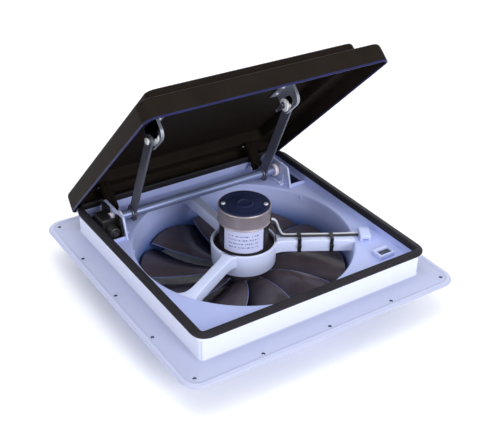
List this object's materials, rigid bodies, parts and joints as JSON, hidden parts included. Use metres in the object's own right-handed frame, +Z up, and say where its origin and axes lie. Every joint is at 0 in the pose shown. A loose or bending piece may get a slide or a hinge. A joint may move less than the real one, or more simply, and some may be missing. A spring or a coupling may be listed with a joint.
{
  "type": "powered roof vent",
  "caption": "Square screw-down roof vent with a rubber-sealed curb, an extractor fan in a round ring, and a hinged lid raised by a motor-driven lift shaft.",
  "frame": {"origin": "centre of the screw flange's underside, where the vent sits on the roof", "axes": "+Z up out of the roof, +X along the front edge, +Y from the front edge to the lid's hinge"},
  "size_m": [0.419, 0.419, 0.3499],
  "materials": {
    "base_white": "satin moulded plastic",
    "seal_black": "matt rubber",
    "motor_black": "satin black paint",
    "motor_silver": "zinc plated",
    "motor_plate": "dark grey paint",
    "screw_bright": "zinc plated",
    "label_white": "printed paper",
    "grommet_dark": "matt rubber",
    "wire_white": "smooth",
    "wire_black": "smooth",
    "tie_black": "smooth",
    "sensor_dark": "printed board",
    "gearbox_black": "satin",
    "steel_grey": "zinc plated",
    "shaft_bright": "satin",
    "lid_smoke": "glossy",
    "bush_white": "smooth",
    "fan_smoke": "smoked translucent plastic"
  },
  "bodies": {
    "base": {"roof_base": "base_white", "rim_seal": "seal_black", "motor_spider": "base_white", "motor_can": "motor_black", "motor_end_bell": "motor_silver", "motor_end_plate": "motor_plate", "motor_plate_screws": "screw_bright", "motor_mount_screws": "screw_bright", "motor_label": "label_white", "motor_grommet": "grommet_dark", "wire_white": "wire_white", "wire_black": "wire_black", "cable_ties": "tie_black", "wire_gland": "base_white", "sensor_housing": "base_white", "sensor_plate": "sensor_dark", "shaft_plate_left": "base_white", "shaft_plate_right": "base_white", "shaft_plate_screws": "screw_bright", "hinge_pins": "screw_bright", "lift_gearbox": "gearbox_black", "lift_motor": "steel_grey", "gearbox_screws": "screw_bright"},
    "lid": {"lid_shell": "lid_smoke", "hinge_arm_left": "lid_smoke", "hinge_arm_right": "lid_smoke", "hinge_arm_screws": "screw_bright", "lid_bracket_left": "steel_grey", "lid_bracket_right": "steel_grey", "bracket_screws": "screw_bright"},
    "lift": {"lift_shaft": "shaft_bright", "shaft_collars": "shaft_bright", "lift_arm_left": "steel_grey", "lift_arm_right": "steel_grey", "arm_pins": "shaft_bright", "slide_bushes": "bush_white", "pin_clips": "steel_grey"},
    "fan": {"fan_impeller": "fan_smoke", "motor_shaft": "screw_bright", "fan_nut": "screw_bright"}
  },
  "joints": [
    {"name": "lid_hinge", "type": "hinge", "parent": "base", "child": "lid", "pos_m": [0, 0.158, 0.028], "axis": [1, 0, 0], "range_deg": [0, 45]},
    {"name": "lift_turn", "type": "hinge", "parent": "base", "child": "lift", "pos_m": [0, 0.118, 0.04], "axis": [1, 0, 0], "range_deg": [0, 57.4]},
    {"name": "fan_spin", "type": "hinge", "parent": "base", "child": "fan", "pos_m": [0, 0, 0], "axis": [0, 0, 1], "continuous": true}
  ],
  "couplings": [
    {"joint": "lift_turn", "follows": "lid_hinge", "ratio": 1.2753}
  ]
}
